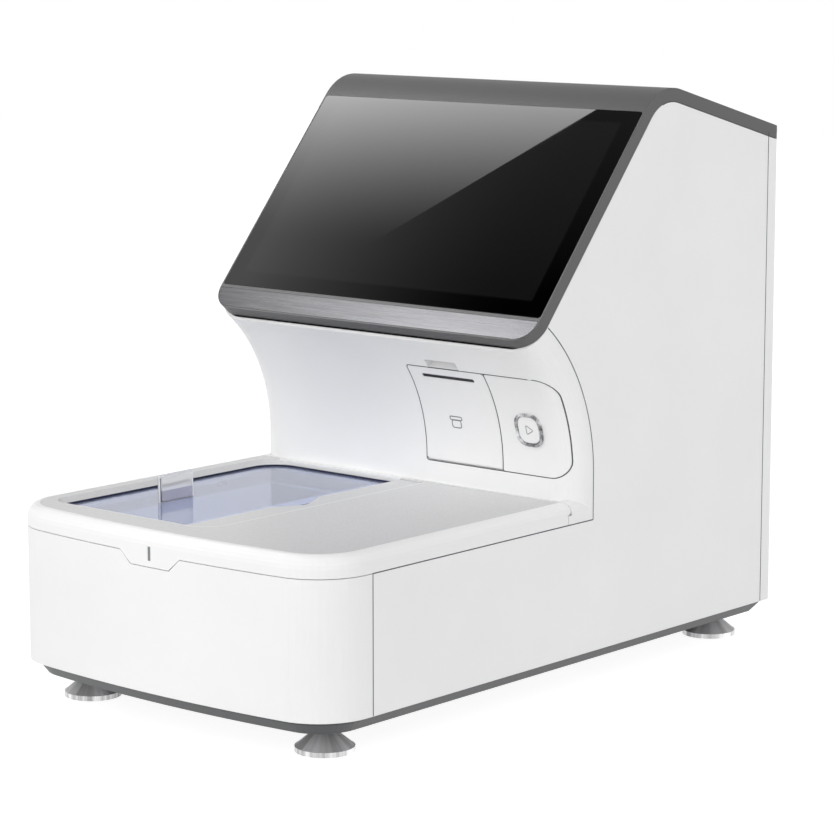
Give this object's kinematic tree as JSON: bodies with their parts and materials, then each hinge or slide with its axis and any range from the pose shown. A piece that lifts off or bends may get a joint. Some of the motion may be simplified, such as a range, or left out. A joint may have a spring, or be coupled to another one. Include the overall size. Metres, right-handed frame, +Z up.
{
  "type": "chemiluminescence immunoassay analyzer",
  "caption": "Benchtop immunoassay analyzer: low loading deck with lift-up lid and tinted window, coved column with receipt printer and start button, sloped touch screen, levelling feet",
  "frame": {"origin": "on the floor below the middle of the overall box", "axes": "+X to the operator's right, +Y from the deck to the rear, +Z up"},
  "size_m": [0.384, 0.6496, 0.5353],
  "materials": {
    "white_plastic": "satin moulded",
    "hood_plastic": "fine satin paint",
    "tray_plastic": "fine texture",
    "silver_plastic": "satin silver paint",
    "grey_plastic": "satin moulded",
    "black_plastic": "fine texture",
    "black_glass": "polished, black backed",
    "tinted_acrylic": "clear polished, pale blue tint",
    "clear_acrylic": "clear polished",
    "brushed_aluminium": "brushed along its length",
    "turned_aluminium": "satin turned",
    "chrome_trim": "polished plate",
    "steel": "bright",
    "hinge_black": "dark blue lacquer",
    "chassis_steel": "zinc plated",
    "motor_black": "black lacquer",
    "rubber": "matt",
    "paper": "smooth thermal paper",
    "board": "solder mask",
    "light_pipe": "frosted"
  },
  "bodies": {
    "housing": {"base_tray": "tray_plastic", "chassis_frame": "chassis_steel", "front_cover": "white_plastic", "right_side_panel": "white_plastic", "left_side_panel": "white_plastic", "rear_panel": "white_plastic", "column_cover": "white_plastic", "hood": "hood_plastic", "screen_glass": "black_glass", "display_module": "black_plastic", "brushed_strip": "brushed_aluminium", "printer_door_pins": "steel", "printer_body": "black_plastic", "print_head": "motor_black", "button_panel": "white_plastic", "button_ring": "chrome_trim", "button_switch": "board", "lid_hinge_pins": "steel", "lid_bumpers": "rubber", "bay_tub": "grey_plastic", "tray_rails": "steel", "tray_motor": "motor_black", "drive_belt": "rubber", "gantry_beam": "turned_aluminium", "reader_module": "black_plastic", "wash_pump": "motor_black", "power_supply": "chassis_steel", "main_board": "board", "fan_frame": "black_plastic", "power_inlet": "black_plastic", "data_ports": "steel", "foot_locknuts": "steel", "rear_screws": "steel"},
    "lid": {"lid_rim": "white_plastic", "deck_panel": "silver_plastic", "status_light": "light_pipe", "window_hinge_base": "hinge_black"},
    "window": {"window_sheet": "tinted_acrylic", "window_tab": "clear_acrylic", "window_hinge_leaf": "hinge_black"},
    "printer_door": {"printer_door": "white_plastic"},
    "platen": {"platen_roller": "rubber"},
    "paper_roll": {"paper_roll": "paper"},
    "start_button": {"start_button": "white_plastic"},
    "strip_tray": {"strip_tray": "black_plastic", "tray_runners": "steel"},
    "drive_pulley": {"drive_pulley": "turned_aluminium"},
    "idler_pulley": {"idler_pulley": "turned_aluminium"},
    "pipette_carriage": {"pipette_carriage": "black_plastic"},
    "pipette_needle": {"pipette_needle": "turned_aluminium"},
    "fan_rotor": {"fan_rotor": "black_plastic"},
    "power_switch": {"power_switch": "black_plastic"},
    "foot_front_left": {"foot_front_left": "turned_aluminium", "cone_front_left": "tray_plastic"},
    "foot_front_right": {"foot_front_right": "turned_aluminium", "cone_front_right": "tray_plastic"},
    "foot_rear_left": {"foot_rear_left": "turned_aluminium", "cone_rear_left": "tray_plastic"},
    "foot_rear_right": {"foot_rear_right": "turned_aluminium", "cone_rear_right": "tray_plastic"}
  },
  "joints": [
    {"name": "lid_hinge", "type": "hinge", "parent": "housing", "child": "lid", "pos_m": [0, 0.00165, 0.1716], "axis": [-1, 0, 0], "range_deg": [0, 25]},
    {"name": "window_hinge", "type": "hinge", "parent": "lid", "child": "window", "pos_m": [-0.0675, -0.0026, 0.1696], "axis": [-1, 0, 0], "range_deg": [0, 35]},
    {"name": "printer_door_hinge", "type": "hinge", "parent": "housing", "child": "printer_door", "pos_m": [0.06725, 0.01135, 0.1991], "axis": [1, 0, 0], "range_deg": [0, 35]},
    {"name": "platen_spin", "type": "hinge", "parent": "printer_door", "child": "platen", "pos_m": [0.06725, -0.00278, 0.27375], "axis": [1, 0, 0], "continuous": true},
    {"name": "paper_roll_spin", "type": "hinge", "parent": "housing", "child": "paper_roll", "pos_m": [0.06725, 0.04865, 0.2301], "axis": [1, 0, 0], "continuous": true},
    {"name": "start_button_press", "type": "slide", "parent": "housing", "child": "start_button", "axis": [0, 0.9632, 0.2689], "range_m": [0, 0.0025], "stiffness_N_per_m": 600, "springref_m": -0.001},
    {"name": "strip_tray_slide", "type": "slide", "parent": "housing", "child": "strip_tray", "axis": [0, 1, 0], "range_m": [0, 0.28]},
    {"name": "drive_pulley_spin", "type": "hinge", "parent": "housing", "child": "drive_pulley", "pos_m": [-0.086, 0.23765, 0.0626], "axis": [-1, 0, 0], "range_deg": [0, 2010]},
    {"name": "idler_pulley_spin", "type": "hinge", "parent": "housing", "child": "idler_pulley", "pos_m": [-0.086, -0.22735, 0.0626], "axis": [-1, 0, 0], "range_deg": [0, 2010]},
    {"name": "pipette_carriage_slide", "type": "slide", "parent": "housing", "child": "pipette_carriage", "axis": [1, 0, 0], "range_m": [0, 0.11]},
    {"name": "pipette_needle_slide", "type": "slide", "parent": "pipette_carriage", "child": "pipette_needle", "axis": [0, 0, -1], "range_m": [0, 0.085]},
    {"name": "fan_spin", "type": "hinge", "parent": "housing", "child": "fan_rotor", "pos_m": [-0.09, 0.30565, 0.3686], "axis": [0, 1, 0], "continuous": true},
    {"name": "power_switch_rock", "type": "hinge", "parent": "housing", "child": "power_switch", "pos_m": [0.073, 0.31465, 0.0936], "axis": [-1, 0, 0], "range_deg": [0, 16]},
    {"name": "foot_front_left_turn", "type": "hinge", "parent": "housing", "child": "foot_front_left", "pos_m": [-0.1405, -0.26035, 0], "axis": [0, 0, 1], "range_deg": [-720, 720]},
    {"name": "foot_front_right_turn", "type": "hinge", "parent": "housing", "child": "foot_front_right", "pos_m": [0.1405, -0.26035, 0], "axis": [0, 0, 1], "range_deg": [-720, 720]},
    {"name": "foot_rear_left_turn", "type": "hinge", "parent": "housing", "child": "foot_rear_left", "pos_m": [-0.1405, 0.29115, 0], "axis": [0, 0, 1], "range_deg": [-720, 720]},
    {"name": "foot_rear_right_turn", "type": "hinge", "parent": "housing", "child": "foot_rear_right", "pos_m": [0.1405, 0.29115, 0], "axis": [0, 0, 1], "range_deg": [-720, 720]}
  ],
  "couplings": [
    {"joint": "drive_pulley_spin", "follows": "strip_tray_slide", "rad_per_m": 125},
    {"joint": "idler_pulley_spin", "follows": "strip_tray_slide", "rad_per_m": 125}
  ]
}
